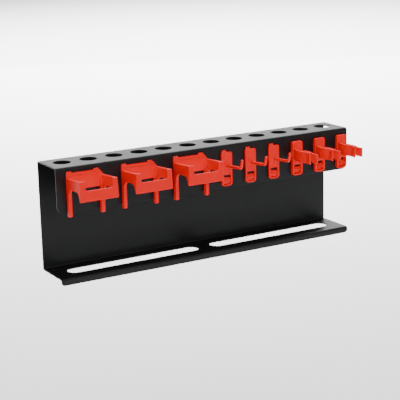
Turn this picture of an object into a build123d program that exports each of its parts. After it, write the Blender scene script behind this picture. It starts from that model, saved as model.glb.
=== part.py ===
from build123d import *

import os
from math import radians, tan

# Wall rack for hand tools: a folded sheet-steel rail with hang-on plastic holders, hooks and clips.
# Frame: origin at the centre of the face that lies on the wall, +X along the rail to the right,
# -Y out from the wall, +Z up. Millimetres.

os.makedirs("parts", exist_ok=True)

# ---- Folded steel rack --------------------------------------------------------------------------
RACK_LENGTH = 400.0
PANEL_HEIGHT = 130.0
SHEET = 1.5
BEND_RADIUS = 2.6            # outside radius of each fold
TOP_DEPTH = 51.0
SHELF_DEPTH = 53.0
FLANGE_HEIGHT = 52.5
LIP_DROP = 6.3               # the shelf's front lip, measured below its underside
FLANGE_CORNER = 8.0
LIP_CORNER = 4.0

TOP_HOLE_COUNT = 12
TOP_HOLE_RADIUS = 10.3
TOP_HOLE_PITCH = 32.7
TOP_HOLE_Y = -24.3

SHELF_SLOT_WIDTH = 20.0
SHELF_SLOT_Y = -26.0
SHELF_SLOT_SPANS = ((-180.5, -7.0), (11.0, 184.5))

SCREW_HOLE_RADIUS = 2.75
SCREW_HOLE_X = 160.0
SCREW_HOLE_Z = 4.0

PANEL_TOP = PANEL_HEIGHT / 2
PANEL_BOTTOM = -PANEL_HEIGHT / 2
FLANGE_FRONT = -TOP_DEPTH
FLANGE_BOTTOM = PANEL_TOP - FLANGE_HEIGHT
LIP_BOTTOM = PANEL_BOTTOM - LIP_DROP

# ---- Studs that hang each plastic piece in the flange's slots ------------------------------------
SEAT_GAP = 0.1               # between a piece's back and the flange
BACK_Y = FLANGE_FRONT - SEAT_GAP
STUD_TILT = 40.0             # degrees below level, running back and down
STUD_HEIGHT = 4.0
STUD_WIDTH = 7.0
STUD_REACH = 7.5             # from the piece's back to the stud's tip
STUD_ROOT = 1.0              # buried in the piece's back wall
SLOT_CLEARANCE = 0.15
STUD_TOP_Z = PANEL_TOP - 12.0

# ---- Wide open holders ---------------------------------------------------------------------------
HOLDER_CENTRES = (-165.5, -96.8, -29.0)
HOLDER_WIDTH = 45.2
HOLDER_FRONT = -90.5
HOLDER_TOP = PANEL_TOP - 6.8
HOLDER_WALL_TOP = PANEL_TOP - 12.7       # where a side wall's rim leaves the back plate
HOLDER_FRONT_TOP = PANEL_TOP - 9.9
HOLDER_BACK_BOTTOM = PANEL_TOP - 26.4
HOLDER_CUT_BOTTOM = PANEL_TOP - 20.6
HOLDER_FRONT_BOTTOM = PANEL_TOP - 33.0
HOLDER_FRONT_TOP_WIDTH = 45.4
HOLDER_FRONT_BOTTOM_WIDTH = 47.2
HOLDER_CUT_WIDTH = 33.0
HOLDER_WALL = 3.0
HOLDER_PLATE = 2.6
HOLDER_LEG_DEPTH = 5.5
HOLDER_LEG_WIDTH = 4.4
HOLDER_LEG_BOTTOM = PANEL_TOP - 57.0
HOLDER_LEG_RADIUS = 2.0
HOLDER_ARCH_TOP = PANEL_TOP - 23.5
HOLDER_ARCH_FRONT = -82.0
HOLDER_ARCH_FOOT = -86.3
HOLDER_ARCH_RADIUS = 5.0
HOLDER_GUSSET_RADIUS = 12.0              # between a leg and the arch
HOLDER_GUSSET_OVERLAP = 0.5
HOLDER_STUD_X = 14.0
HOLDER_LUG_WIDTH = 6.0
HOLDER_LUG_HEIGHT = 1.6
HOLDER_LUG_PLACES = (-19.0, 14.5)        # from the holder's middle
HOLDER_RIM_HEIGHT = 3.6                  # set-back band along the back plate's top
HOLDER_RIM_STEP = 0.8
HOLDER_SHOULDER_WIDTH = 4.0              # cut off the back plate's right shoulder
HOLDER_SHOULDER_DROP = 5.0
HOLDER_EDGE = 1.6                        # rounding of the front corners
HOLDER_CUT_RADIUS = 2.5

# ---- Narrow carriers shared by hooks and clips ---------------------------------------------------
CARRIER_PITCH = 33.67
FIRST_CARRIER = 20.6
CARRIER_WIDTH = 15.0
HOOK_CARRIER_TOP = PANEL_TOP - 8.5
CLIP_CARRIER_TOP = PANEL_TOP - 7.4
CARRIER_BOTTOM = PANEL_TOP - 50.0
CARRIER_TOP_RADIUS = 2.5
CARRIER_BOTTOM_RADIUS = 4.0
HOOK_CARRIER_DEPTH = 3.2
CLIP_CARRIER_DEPTH = 5.0
WINDOW_WIDTH = 10.0
WINDOW_TOP = PANEL_TOP - 36.4
WINDOW_BOTTOM = PANEL_TOP - 48.2
WINDOW_RADIUS = 0.8
LUG_WIDTH = 6.0
LUG_HEIGHT = 2.4
LUG_THICKNESS = 1.4

# ---- Catch tongue that stands in each carrier's window -------------------------------------------
CATCH_WIDTH = 9.2
CATCH_THICKNESS = 1.3
CATCH_TOP = PANEL_TOP - 39.7
CATCH_RIDGE_BOTTOM = PANEL_TOP - 44.4
CATCH_SETBACK = 0.2          # from the carrier's back to the blade
CATCH_RIDGE_INSET = 0.1      # from the carrier's front to the ridge
CATCH_GAP = 0.15             # under the tongue's rounded root

# ---- J-shaped hook arm, seen from the side as (Y, Z) ---------------------------------------------
ARM_WIDTH = 3.4
ARM_ROOT_LOW = PANEL_TOP - 27.1
ARM_ROOT_HIGH = PANEL_TOP - 23.8
ARM_OUTER_BEND = (-86.9, PANEL_TOP - 24.4)
ARM_INNER_BEND = (-84.7, PANEL_TOP - 21.2)
TIP_OUTER = (-90.0, PANEL_TOP - 12.3)
TIP_INNER = (-87.5, PANEL_TOP - 12.0)
ARM_OUTER_RADIUS = 4.5
ARM_INNER_RADIUS = 2.0
TIP_RADIUS = 1.0

# ---- Spring clip's two jaws ----------------------------------------------------------------------
JAW_THICKNESS = 2.2
JAW_GAP = 0.2                # between a jaw's rounded root and its carrier
JAW_ROOT_X = 5.0
JAW_BULGE_X = 7.6
JAW_PINCH_X = 4.5
JAW_TIP_X = 5.4
JAW_BULGE_Y = -69.5
JAW_PINCH_Y = -81.5
JAW_FLARE_Y = -85.5
JAW_FLARE_X = 4.7
JAW_TIP_Y = -89.4
LEFT_JAW_Z = (PANEL_TOP - 30.0, PANEL_TOP - 16.0)
RIGHT_JAW_Z = (PANEL_TOP - 30.5, PANEL_TOP - 19.0)

carrier_centres = [FIRST_CARRIER + i * CARRIER_PITCH for i in range(6)]
hook_centres = carrier_centres[:3]
clip_centres = carrier_centres[3:]
stud_places = [x + side * HOLDER_STUD_X for x in HOLDER_CENTRES for side in (-1, 1)] + carrier_centres


def save(part, name):
    """Label a finished piece and write its STEP file."""
    part.label = name
    export_step(part, f"parts/{name}.step")


def stud_outline(x):
    """Side view of one stud: a straight finger that runs back and down through the flange."""
    front = BACK_Y - STUD_ROOT
    back = BACK_Y + STUD_REACH
    fall = (back - front) * tan(radians(STUD_TILT))
    with BuildSketch(Plane.YZ.offset(x)) as outline:
        with BuildLine():
            Polyline(
                (front, STUD_TOP_Z),
                (back, STUD_TOP_Z - fall),
                (back, STUD_TOP_Z - fall - STUD_HEIGHT),
                (front, STUD_TOP_Z - STUD_HEIGHT),
                close=True,
            )
        make_face()
    return outline.sketch


# ---- Rack ----------------------------------------------------------------------------------------
with BuildPart() as rack:
    with BuildSketch(Plane.YZ):
        with BuildLine():
            FilletPolyline(
                (FLANGE_FRONT, FLANGE_BOTTOM),
                (FLANGE_FRONT, PANEL_TOP),
                (0, PANEL_TOP),
                (0, PANEL_BOTTOM),
                (-SHELF_DEPTH + SHEET, PANEL_BOTTOM),
                (-SHELF_DEPTH + SHEET, LIP_BOTTOM),
                radius=[BEND_RADIUS, BEND_RADIUS, BEND_RADIUS, BEND_RADIUS - SHEET],
            )
            offset(amount=SHEET, side=Side.RIGHT)
        make_face()
    extrude(amount=RACK_LENGTH / 2, both=True)

    # Rounded outer corners of the flange and the lip.
    for corner_z, corner_radius in ((FLANGE_BOTTOM, FLANGE_CORNER), (LIP_BOTTOM, LIP_CORNER)):
        corners = edges().filter_by(Axis.Y).filter_by_position(
            Axis.Z, corner_z - SHEET / 2, corner_z + SHEET / 2
        )
        fillet(corners, radius=corner_radius)

    # The row of round holes for screwdrivers.
    with BuildSketch(Plane.XY.offset(PANEL_TOP)):
        with Locations((0, TOP_HOLE_Y)):
            with GridLocations(TOP_HOLE_PITCH, 0, TOP_HOLE_COUNT, 1):
                Circle(TOP_HOLE_RADIUS)
    extrude(amount=-SHEET, mode=Mode.SUBTRACT)

    # The two long slots in the shelf.
    with BuildSketch(Plane.XY.offset(PANEL_BOTTOM)):
        for start, end in SHELF_SLOT_SPANS:
            with Locations(((start + end) / 2, SHELF_SLOT_Y)):
                SlotOverall(end - start, SHELF_SLOT_WIDTH)
    extrude(amount=SHEET, mode=Mode.SUBTRACT)

    # Screw holes through the back panel.
    with BuildSketch(Plane.XZ.offset(SHEET)):
        with Locations((-SCREW_HOLE_X, SCREW_HOLE_Z), (SCREW_HOLE_X, SCREW_HOLE_Z)):
            Circle(SCREW_HOLE_RADIUS)
    extrude(amount=-SHEET, mode=Mode.SUBTRACT)

    # Flange slots, each just larger than the stud's cut through the sheet.
    slot_top = STUD_TOP_Z - (STUD_ROOT + SEAT_GAP) * tan(radians(STUD_TILT)) + SLOT_CLEARANCE
    slot_low = (
        STUD_TOP_Z - STUD_HEIGHT
        - (STUD_ROOT + SEAT_GAP + SHEET) * tan(radians(STUD_TILT))
        - SLOT_CLEARANCE
    )
    with BuildSketch(Plane.XZ.offset(-FLANGE_FRONT)):
        for x in stud_places:
            with Locations((x, (slot_top + slot_low) / 2)):
                Rectangle(STUD_WIDTH + 2 * SLOT_CLEARANCE, slot_top - slot_low)
    extrude(amount=-SHEET, mode=Mode.SUBTRACT)
save(rack.part, "folded_rack")


# ---- Wide holders --------------------------------------------------------------------------------
def front_outline(x):
    """Front panel seen from the front: it widens downwards and has a wide cut between two posts."""
    with BuildSketch(Plane.XZ.offset(-HOLDER_FRONT)) as outline:
        with BuildLine():
            Polyline(
                (x - HOLDER_FRONT_TOP_WIDTH / 2, HOLDER_FRONT_TOP),
                (x + HOLDER_FRONT_TOP_WIDTH / 2, HOLDER_FRONT_TOP),
                (x + HOLDER_FRONT_BOTTOM_WIDTH / 2, HOLDER_FRONT_BOTTOM),
                (x - HOLDER_FRONT_BOTTOM_WIDTH / 2, HOLDER_FRONT_BOTTOM),
                close=True,
            )
        make_face()
        with Locations((x, HOLDER_FRONT_TOP)):
            RectangleRounded(
                HOLDER_CUT_WIDTH,
                2 * (HOLDER_FRONT_TOP - HOLDER_CUT_BOTTOM),
                HOLDER_CUT_RADIUS,
                mode=Mode.SUBTRACT,
            )
    return outline.sketch


def wide_holder(x):
    """A bottomless tray: back plate, two legged side walls and a front with a wide cut."""
    left = x - HOLDER_WIDTH / 2
    right = x + HOLDER_WIDTH / 2
    with BuildPart() as holder:
        # Side walls, each drawn from its back edge round the arch to the front panel.
        for wall in (left, right - HOLDER_WALL):
            with BuildSketch(Plane.YZ.offset(wall)):
                with BuildLine():
                    Polyline(
                        (BACK_Y, HOLDER_WALL_TOP),
                        (BACK_Y, HOLDER_ARCH_TOP),
                        (HOLDER_ARCH_FRONT, HOLDER_ARCH_TOP),
                        (HOLDER_ARCH_FOOT, HOLDER_FRONT_BOTTOM),
                        (HOLDER_FRONT + HOLDER_EDGE, HOLDER_FRONT_BOTTOM),
                        (HOLDER_FRONT + HOLDER_EDGE, HOLDER_FRONT_TOP),
                        close=True,
                    )
                make_face()
                arch = vertices().filter_by(lambda v: abs(v.Y - HOLDER_ARCH_FRONT) < SHEET / 2)
                fillet(arch, radius=HOLDER_ARCH_RADIUS)
            extrude(amount=HOLDER_WALL)

        # Round gussets between the arches and the legs.
        for wall in (left, right - HOLDER_WALL):
            with BuildSketch(Plane.YZ.offset(wall)):
                with Locations((
                    BACK_Y - HOLDER_LEG_DEPTH - HOLDER_GUSSET_RADIUS,
                    HOLDER_ARCH_TOP - HOLDER_GUSSET_RADIUS,
                )):
                    Rectangle(
                        HOLDER_GUSSET_RADIUS + HOLDER_GUSSET_OVERLAP,
                        HOLDER_GUSSET_RADIUS + HOLDER_GUSSET_OVERLAP,
                        align=(Align.MIN, Align.MIN),
                    )
                    Circle(HOLDER_GUSSET_RADIUS, mode=Mode.SUBTRACT)
            extrude(amount=HOLDER_WALL)

        # Legs under the back corners, rounded at the foot.
        for leg in (left, right - HOLDER_LEG_WIDTH):
            with BuildSketch(Plane.YZ.offset(leg)):
                with Locations((BACK_Y - HOLDER_LEG_DEPTH / 2, (HOLDER_WALL_TOP + HOLDER_LEG_BOTTOM) / 2)):
                    Rectangle(HOLDER_LEG_DEPTH, HOLDER_WALL_TOP - HOLDER_LEG_BOTTOM)
                fillet(vertices().group_by(Axis.Y)[0], radius=HOLDER_LEG_RADIUS)
            extrude(amount=HOLDER_LEG_WIDTH)

        # Back plate with its set-back rim and the two small lugs on top.
        with BuildSketch(Plane.XZ.offset(-BACK_Y)):
            with Locations((x, (HOLDER_TOP + HOLDER_BACK_BOTTOM) / 2)):
                Rectangle(HOLDER_WIDTH, HOLDER_TOP - HOLDER_BACK_BOTTOM)
            for place in HOLDER_LUG_PLACES:
                with Locations((x + place, HOLDER_TOP)):
                    Rectangle(HOLDER_LUG_WIDTH, 2 * HOLDER_LUG_HEIGHT)
        extrude(amount=HOLDER_PLATE - HOLDER_RIM_STEP)
        with BuildSketch(Plane.XZ.offset(-BACK_Y + HOLDER_PLATE - HOLDER_RIM_STEP)):
            with Locations((x, (HOLDER_TOP - HOLDER_RIM_HEIGHT + HOLDER_BACK_BOTTOM) / 2)):
                Rectangle(HOLDER_WIDTH, HOLDER_TOP - HOLDER_RIM_HEIGHT - HOLDER_BACK_BOTTOM)
        extrude(amount=HOLDER_RIM_STEP)
        with BuildSketch(Plane.XZ.offset(-BACK_Y)):
            with BuildLine():
                Polyline(
                    (right - HOLDER_SHOULDER_WIDTH, HOLDER_TOP),
                    (right, HOLDER_TOP - HOLDER_SHOULDER_DROP),
                    (right, HOLDER_TOP),
                    close=True,
                )
            make_face()
        extrude(amount=HOLDER_PLATE, mode=Mode.SUBTRACT)

        extrude(front_outline(x), amount=-HOLDER_PLATE)
        corners = edges().filter_by_position(
            Axis.Y, HOLDER_FRONT - SEAT_GAP, HOLDER_FRONT + SEAT_GAP
        )
        fillet(
            corners.filter_by(lambda e: abs(e.center().X - x) > HOLDER_WIDTH / 2),
            radius=HOLDER_EDGE,
        )
        for side in (-1, 1):
            extrude(stud_outline(x + side * HOLDER_STUD_X), amount=STUD_WIDTH / 2, both=True)
    return holder.part


for number, centre in enumerate(HOLDER_CENTRES, 1):
    save(wide_holder(centre), f"wide_holder_{number}")


# ---- Carriers, their catches, hook arms and clip jaws --------------------------------------------
def carrier_face(x, top):
    """Front view of the upright carrier: a plate with a window near its foot."""
    with BuildSketch(Plane.XZ.offset(-BACK_Y)) as face:
        with Locations((x, (top + CARRIER_BOTTOM) / 2)):
            Rectangle(CARRIER_WIDTH, top - CARRIER_BOTTOM)
        fillet(vertices().group_by(Axis.Y)[-1], radius=CARRIER_TOP_RADIUS)
        fillet(vertices().group_by(Axis.Y)[0], radius=CARRIER_BOTTOM_RADIUS)
        with Locations((x, (WINDOW_TOP + WINDOW_BOTTOM) / 2)):
            RectangleRounded(WINDOW_WIDTH, WINDOW_TOP - WINDOW_BOTTOM, WINDOW_RADIUS, mode=Mode.SUBTRACT)
    return face.sketch


def arm_outline(x):
    """Side view of the hook's arm: it rises a little, then turns up into a tip that leans outwards."""
    root = BACK_Y - HOOK_CARRIER_DEPTH + LUG_THICKNESS
    with BuildSketch(Plane.YZ.offset(x)) as outline:
        with BuildLine():
            Polyline(
                (root, ARM_ROOT_LOW),
                ARM_OUTER_BEND,
                TIP_OUTER,
                TIP_INNER,
                ARM_INNER_BEND,
                (root, ARM_ROOT_HIGH),
                close=True,
            )
        make_face()
        for corner_y, radius in (
            (ARM_OUTER_BEND[0], ARM_OUTER_RADIUS),
            (ARM_INNER_BEND[0], ARM_INNER_RADIUS),
            (TIP_OUTER[0], TIP_RADIUS),
            (TIP_INNER[0], TIP_RADIUS),
        ):
            fillet(vertices().sort_by(lambda v, y=corner_y: abs(v.X - y))[0], radius=radius)
    return outline.sketch


def hook_carrier(x):
    """Carrier with a J-shaped arm."""
    with BuildPart() as hook:
        extrude(carrier_face(x, HOOK_CARRIER_TOP), amount=HOOK_CARRIER_DEPTH)
        # Small lug on the left half of the carrier's top edge, against the flange.
        with BuildSketch(Plane.XZ.offset(-BACK_Y)):
            with Locations((x - LUG_WIDTH / 2, HOOK_CARRIER_TOP)):
                RectangleRounded(LUG_WIDTH, 2 * LUG_HEIGHT, LUG_THICKNESS / 2)
        extrude(amount=LUG_THICKNESS)
        extrude(arm_outline(x), amount=ARM_WIDTH / 2, both=True)
        extrude(stud_outline(x), amount=STUD_WIDTH / 2, both=True)
    return hook.part


def catch_tongue(x, depth):
    """Springy tongue in a carrier's window: round root, flat blade and a thumb ridge across it."""
    radius = CATCH_THICKNESS / 2
    middle = BACK_Y - CATCH_SETBACK - radius
    ridge = BACK_Y - depth + CATCH_RIDGE_INSET
    root_z = WINDOW_BOTTOM + CATCH_GAP + radius
    with BuildPart() as catch:
        with BuildSketch(Plane.YZ.offset(x)):
            with Locations((middle, root_z)):
                Circle(radius)
            with Locations((middle, (root_z + CATCH_TOP) / 2)):
                Rectangle(CATCH_THICKNESS, CATCH_TOP - root_z)
            with BuildLine():
                Polyline(
                    (middle - radius / 2, CATCH_TOP),
                    (ridge, CATCH_RIDGE_BOTTOM + radius),
                    (ridge, CATCH_RIDGE_BOTTOM),
                    (middle - radius / 2, CATCH_RIDGE_BOTTOM),
                    close=True,
                )
            make_face()
        extrude(amount=CATCH_WIDTH / 2, both=True)
    return catch.part


def clip_carrier(x):
    """Carrier for the two spring jaws."""
    with BuildPart() as carrier:
        extrude(carrier_face(x, CLIP_CARRIER_TOP), amount=CLIP_CARRIER_DEPTH)
        extrude(stud_outline(x), amount=STUD_WIDTH / 2, both=True)
    return carrier.part


def clip_jaw(x, side, heights):
    """One spring jaw, seen from above: it bows out, pinches in and flares to a lead-in tip."""
    root_y = BACK_Y - CLIP_CARRIER_DEPTH - JAW_GAP - JAW_THICKNESS / 2
    low, high = heights
    with BuildPart() as jaw:
        with BuildSketch(Plane.XY.offset(low)):
            with BuildLine():
                bow = ThreePointArc(
                    (x + side * JAW_ROOT_X, root_y),
                    (x + side * JAW_BULGE_X, JAW_BULGE_Y),
                    (x + side * JAW_PINCH_X, JAW_PINCH_Y),
                )
                ThreePointArc(
                    bow @ 1,
                    (x + side * JAW_FLARE_X, JAW_FLARE_Y),
                    (x + side * JAW_TIP_X, JAW_TIP_Y),
                )
                offset(amount=JAW_THICKNESS / 2, side=Side.BOTH)
            make_face()
        extrude(amount=high - low)
    return jaw.part


for number, centre in enumerate(hook_centres, 1):
    save(hook_carrier(centre), f"hook_carrier_{number}")
    save(catch_tongue(centre, HOOK_CARRIER_DEPTH), f"hook_catch_{number}")

for number, centre in enumerate(clip_centres, 1):
    save(clip_carrier(centre), f"clip_carrier_{number}")
    save(catch_tongue(centre, CLIP_CARRIER_DEPTH), f"clip_catch_{number}")
    save(clip_jaw(centre, -1, LEFT_JAW_Z), f"clip_left_jaw_{number}")
    save(clip_jaw(centre, 1, RIGHT_JAW_Z), f"clip_right_jaw_{number}")
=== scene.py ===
"""Looks of a wall tool rack: a folded steel rail with hang-on plastic holders, hooks and spring clips.

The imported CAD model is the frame. The rail is a flat blank with its holes cut, folded along its
bend lines. Every plastic piece is a moulding: rounded slabs, run together with small fillets, whose
skin is found on a fine grid and then moved on to the exact surface. Builders work in millimetres,
in the frame's own axes, and meshes are written in metres.
"""

import logging
from collections.abc import Callable, Sequence
from dataclasses import dataclass, field
from enum import Enum
from math import cos, pi, radians, sin

import bpy
import numpy as np
import numpy.typing as npt
from mathutils import Matrix, Vector
from mathutils.geometry import delaunay_2d_cdt


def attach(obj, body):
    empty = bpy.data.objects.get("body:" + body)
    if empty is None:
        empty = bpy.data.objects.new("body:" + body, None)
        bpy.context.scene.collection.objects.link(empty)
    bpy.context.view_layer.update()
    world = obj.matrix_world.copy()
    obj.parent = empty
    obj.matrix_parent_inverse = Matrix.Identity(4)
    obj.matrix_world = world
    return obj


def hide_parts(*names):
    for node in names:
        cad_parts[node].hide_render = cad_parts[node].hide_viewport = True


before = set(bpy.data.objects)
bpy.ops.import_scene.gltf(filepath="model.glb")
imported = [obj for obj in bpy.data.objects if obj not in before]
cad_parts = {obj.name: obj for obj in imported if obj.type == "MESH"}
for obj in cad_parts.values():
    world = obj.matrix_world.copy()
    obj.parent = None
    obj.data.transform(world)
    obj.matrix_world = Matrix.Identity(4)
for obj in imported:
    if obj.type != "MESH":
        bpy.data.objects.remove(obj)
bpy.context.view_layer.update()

LOG = logging.getLogger("rack")
MM = 0.001
QUARTERS = ((-1, -1), (1, -1), (1, 1), (-1, 1))

# How skins are found: distances in millimetres, grid margins in grid steps.
REACH = 3.0           # loose points further than this from a slab aren't measured
TINY = 1e-9           # stands in for zero where a value is divided by or has to have a sign
GRID_MARGIN = 2.3     # empty grid before a shape; not whole, so that flat faces miss the grid points
GRID_SPARE = 4        # grid points added after a shape
SETTLE_ROUNDS = 2     # gradients taken as vertices move on to the surface, and moves along each

Array = npt.NDArray[np.float64]
Field = Callable[[Array, Array, Array], Array]

# Sizes and places shared by the sub-assemblies, in millimetres.
PANEL_TOP = 65.0
PANEL_BOTTOM = -65.0
SHEET = 1.5
FLANGE_FRONT = -51.0
BACK_Y = -51.1
CARRIER_PITCH = 33.67
FIRST_CARRIER = 20.6
STUD_FILLET = 0.6
FAR = 200.0           # wider than any plastic piece
ARC_GAP = 0.01        # left between two arcs that would meet, so that no two outline points coincide


class Side(Enum):
    """Which jaw of a spring clip: the one on -X or the one on +X."""

    LEFT = -1
    RIGHT = 1


class Axis(Enum):
    """The direction a slab's thickness runs in."""

    X = 0
    Y = 1
    Z = 2


# ---- Outlines ------------------------------------------------------------------------------------
def corner_arcs(points: Sequence[tuple[float, float]], radii: Sequence[float], steps: int = 6) -> Array:
    """A closed outline with each corner rounded by a circle that touches both its edges.

    The arc's centre stands at radius / cos(turn / 2) from the corner along the bisector, and the
    arc runs between the two touching points, radius * tan(turn / 2) from the corner.

    Args:
        points: the corners in order.
        radii: one radius for each corner; 0 keeps it sharp.
        steps: segments in each arc.

    Returns:
        The outline as an (n, 2) array, not repeated at its end.
    """
    corners = np.asarray(points, dtype=float)
    ahead = np.roll(corners, -1, axis=0) - corners
    behind = np.roll(corners, 1, axis=0) - corners
    ahead /= np.linalg.norm(ahead, axis=1, keepdims=True)
    behind /= np.linalg.norm(behind, axis=1, keepdims=True)
    runs = []
    for corner, out, back, radius in zip(corners, ahead, behind, radii):
        if radius == 0:
            runs.append(corner[None])
            continue
        half = np.arccos(np.clip(np.dot(out, back), -1, 1)) / 2
        bisector = (out + back) / np.linalg.norm(out + back)
        centre = corner + bisector * radius / np.sin(half)
        start = corner + back * radius / np.tan(half) - centre
        end = corner + out * radius / np.tan(half) - centre
        sweep = np.arctan2(start[0] * end[1] - start[1] * end[0], np.dot(start, end))
        turn = np.linspace(0, sweep, steps + 1)[:, None]
        across = np.array([-start[1], start[0]])
        runs.append(centre + start * np.cos(turn) + across * np.sin(turn))
    return np.concatenate(runs)


def rectangle(u: float, v: float, width: float, height: float, radius: float, steps: int = 6) -> Array:
    """A rounded rectangle centred at (u, v), run anticlockwise."""
    return corner_arcs([(u + a * width / 2, v + b * height / 2) for a, b in QUARTERS], [radius] * 4, steps)


def circle(u: float, v: float, radius: float, steps: int) -> Array:
    """A circle centred at (u, v), run anticlockwise: (u + r cos t, v + r sin t)."""
    turn = np.linspace(0, 2 * pi, steps, endpoint=False)
    return np.stack([u + radius * np.cos(turn), v + radius * np.sin(turn)], axis=1)


def ribbon(path: Array, thickness: float, cap_steps: int = 8) -> Array:
    """The outline of a strip of even thickness along an open path, with round ends.

    Each side is the path moved by half the thickness along its normal, and each end is a half
    circle of that radius.

    Args:
        path: points of the strip's middle line, (n, 2).
        thickness: full thickness.
        cap_steps: segments in each end's half circle.

    Returns:
        The closed outline as an (m, 2) array.
    """
    tangent = np.gradient(path, axis=0)
    tangent /= np.linalg.norm(tangent, axis=1, keepdims=True)
    normal = np.stack([-tangent[:, 1], tangent[:, 0]], axis=1)
    half = thickness / 2
    turn = np.linspace(0, pi, cap_steps + 1)[1:-1, None]
    end_cap = path[-1] + half * (-normal[-1] * np.cos(turn) + tangent[-1] * np.sin(turn))
    start_cap = path[0] + half * (normal[0] * np.cos(turn) - tangent[0] * np.sin(turn))
    return np.concatenate([path - half * normal, end_cap, (path + half * normal)[::-1], start_cap])


def outline_distance(u: Array, v: Array, outline: Array) -> Array:
    """Signed distance to a closed outline, negative inside.

    The size is the distance to the nearest edge, and the sign comes from whether a ray along +u
    crosses the outline an odd number of times.

    Args:
        u: first coordinate, any shape.
        v: second coordinate, a shape that broadcasts with u's.
        outline: the closed outline, (n, 2).

    Returns:
        The distances in the common shape.
    """
    shape = np.broadcast_shapes(u.shape, v.shape)
    point = np.stack([np.broadcast_to(u, shape).ravel(), np.broadcast_to(v, shape).ravel()], axis=1)
    edge = np.roll(outline, -1, axis=0) - outline
    gap = point[:, None, :] - outline[None]
    along = np.clip((gap * edge).sum(axis=2) / (edge * edge).sum(axis=1), 0, 1)
    nearest = np.linalg.norm(gap - along[..., None] * edge, axis=2).min(axis=1)
    above = outline[None, :, 1] > point[:, None, 1]
    crossing = above != np.roll(above, -1, axis=1)
    rise = np.where(edge[:, 1] == 0, 1.0, edge[:, 1])
    reach = outline[None, :, 0] + gap[..., 1] * edge[:, 0] / rise
    inside = (crossing & (point[:, None, 0] < reach)).sum(axis=1) % 2 == 1
    return np.where(inside, -nearest, nearest).reshape(shape)


# ---- Mouldings -----------------------------------------------------------------------------------
@dataclass(frozen=True)
class Slab:
    """A flat piece of even thickness with rounded edges.

    Its distance field is that of the outline and of the thickness, both drawn in by the edge
    radius, joined as hypot outside and max inside, and grown by the radius again.
    """

    axis: Axis
    outline: Array
    low: float
    high: float
    radius: float
    holes: tuple[Array, ...] = ()

    def __call__(self, x: Array, y: Array, z: Array) -> Array:
        """Signed distance, negative inside; loose points far off just read as REACH.

        Args:
            x: first coordinate, as a grid's axis or as one of a list of loose points.
            y: second coordinate, likewise.
            z: third coordinate, likewise.

        Returns:
            The distances in the common shape.
        """
        if x.ndim > 1:
            return self.distance(x, y, z)
        places = [x, y, z]
        through = places.pop(self.axis.value)
        least, most = self.outline.min(axis=0) - REACH, self.outline.max(axis=0) + REACH
        near = (through > self.low - REACH) & (through < self.high + REACH)
        for place, low, high in zip(places, least, most):
            near &= (place > low) & (place < high)
        value = np.full(x.shape, REACH)
        value[near] = self.distance(x[near], y[near], z[near])
        return value

    def distance(self, x: Array, y: Array, z: Array) -> Array:
        """Signed distance at the given points, negative inside."""
        places = [x, y, z]
        through = places.pop(self.axis.value)
        flat = outline_distance(places[0], places[1], self.outline)
        for hole in self.holes:
            flat = np.maximum(flat, -outline_distance(places[0], places[1], hole))
        flat = flat + self.radius
        deep = np.abs(through - (self.low + self.high) / 2) - (self.high - self.low) / 2 + self.radius
        outside = np.hypot(np.maximum(flat, 0), np.maximum(deep, 0))
        return outside + np.minimum(np.maximum(flat, deep), 0) - self.radius


def run_together(fields: Sequence[Field], fillet: float) -> Field:
    """Joins fields with a fillet in each inner corner.

    Two fields a and b join as min(a, b) - h * h * fillet / 4, where h is how far their difference
    is short of the fillet, as a part of it.

    Args:
        fields: the fields to join.
        fillet: the width over which they blend; 0 joins them sharply.

    Returns:
        The joined field.
    """

    def joined(x: Array, y: Array, z: Array) -> Array:
        """Signed distance of the joined shape."""
        total = fields[0](x, y, z)
        for other in fields[1:]:
            value = other(x, y, z)
            blend = np.maximum(fillet - np.abs(total - value), 0) / max(fillet, TINY)
            total = np.minimum(total, value) - blend * blend * fillet / 4
        return total

    return joined


def kept_within(inner: Field, half_width: float = FAR) -> Field:
    """Cuts a field off in planes, so that faces that lie in one of them stay flat where they join.

    Args:
        inner: the field to cut.
        half_width: where the planes square to X stand, on both sides.

    Returns:
        The field within those planes and in front of the flange.
    """

    def cut(x: Array, y: Array, z: Array) -> Array:
        """Signed distance of the shape within the planes."""
        return np.maximum(np.maximum(inner(x, y, z), np.abs(x) - half_width), y - BACK_Y)

    return cut


@dataclass(frozen=True)
class Skin:
    """A closed mesh in millimetres with a normal at each vertex."""

    vertices: Array
    faces: Array
    normals: Array

    def moved(self, x: float) -> "Skin":
        """The same skin, moved along X."""
        return Skin(self.vertices + np.array([x, 0.0, 0.0]), self.faces, self.normals)

    def put(self, name: str) -> bpy.types.Object:
        """Writes the skin into a new object that stands at the origin.

        Args:
            name: the object's name.

        Returns:
            The new object, linked to the scene.
        """
        mesh = bpy.data.meshes.new(name)
        count, sides = self.faces.shape
        mesh.vertices.add(len(self.vertices))
        mesh.vertices.foreach_set("co", (self.vertices * MM).astype(np.float32).ravel())
        mesh.loops.add(count * sides)
        mesh.loops.foreach_set("vertex_index", self.faces.astype(np.int32).ravel())
        mesh.polygons.add(count)
        mesh.polygons.foreach_set("loop_start", np.arange(count, dtype=np.int32) * sides)
        mesh.update(calc_edges=True)
        mesh.validate()
        mesh.polygons.foreach_set("use_smooth", np.ones(len(mesh.polygons), dtype=bool))
        mesh.normals_split_custom_set_from_vertices(self.normals.astype(np.float32))
        made = bpy.data.objects.new(name, mesh)
        bpy.context.scene.collection.objects.link(made)
        return made


def slope(shape: Field, points: Array, reach: float = 0.02) -> Array:
    """Unit gradient of a field at points, by central differences over a small reach.

    Args:
        shape: the field.
        points: the places, (n, 3).
        reach: how far each side of a point the field is read.

    Returns:
        The unit vectors, (n, 3).
    """
    offsets = reach * np.eye(3)
    gradient = np.stack([shape(*(points + o).T) - shape(*(points - o).T) for o in offsets], axis=1)
    return gradient / np.maximum(np.linalg.norm(gradient, axis=1, keepdims=True), TINY)


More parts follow.
